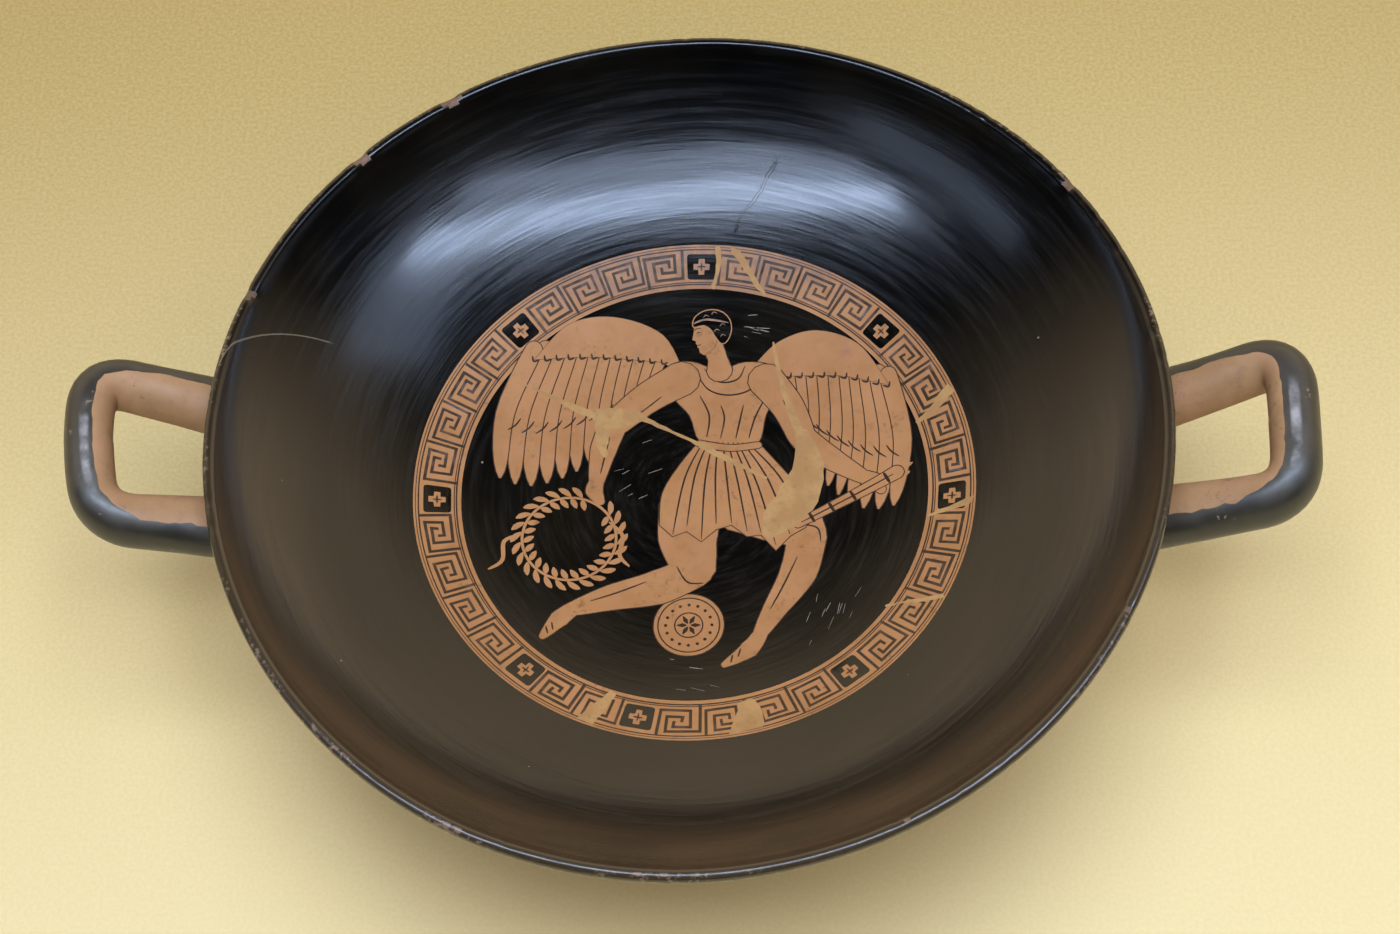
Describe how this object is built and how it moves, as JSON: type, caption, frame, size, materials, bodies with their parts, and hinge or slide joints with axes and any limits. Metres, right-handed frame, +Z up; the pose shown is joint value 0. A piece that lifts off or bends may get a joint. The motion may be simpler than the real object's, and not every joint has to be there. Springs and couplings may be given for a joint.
{
  "type": "greek kylix cup",
  "caption": "Shallow two-handled stemmed drinking cup of black-gloss clay, with a round picture and key-pattern border inside.",
  "frame": {"origin": "centre of the foot's resting ring, on the surface the cup stands on", "axes": "+Z up along the bowl's axis, the handles lie along X, Y across them"},
  "size_m": [0.3122, 0.2358, 0.0959],
  "materials": {
    "black_gloss": "semi-gloss black slip"
  },
  "bodies": {
    "root": {"kylix_cup": "black_gloss"}
  },
  "joints": []
}
